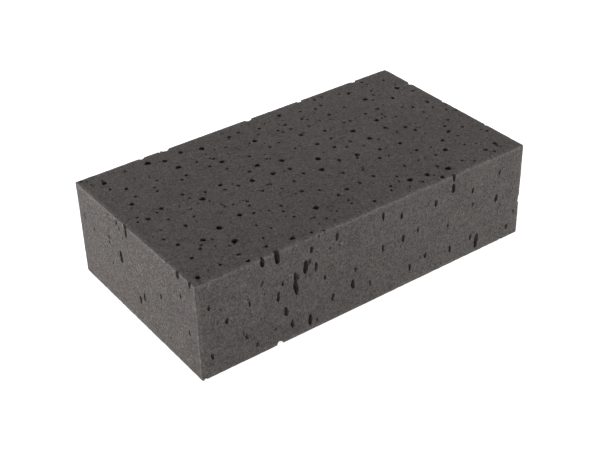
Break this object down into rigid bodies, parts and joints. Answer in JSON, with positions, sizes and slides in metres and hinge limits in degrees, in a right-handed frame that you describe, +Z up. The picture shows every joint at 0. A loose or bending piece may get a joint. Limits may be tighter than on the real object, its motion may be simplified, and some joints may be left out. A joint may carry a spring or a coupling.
{
  "type": "grout sponge",
  "caption": "Rectangular block of open-cell foam with scattered blowholes, held in the hand to wipe wet grout off tiles.",
  "frame": {"origin": "centre of the underside, the large face that the block lies on", "axes": "+X along the long side, +Y from the front to the back, +Z up along the height, which is the direction in which the foam rose"},
  "size_m": [0.2, 0.112, 0.054],
  "materials": {
    "foam": "matt charcoal open-cell foam"
  },
  "bodies": {
    "root": {"foam_block": "foam"}
  },
  "joints": []
}
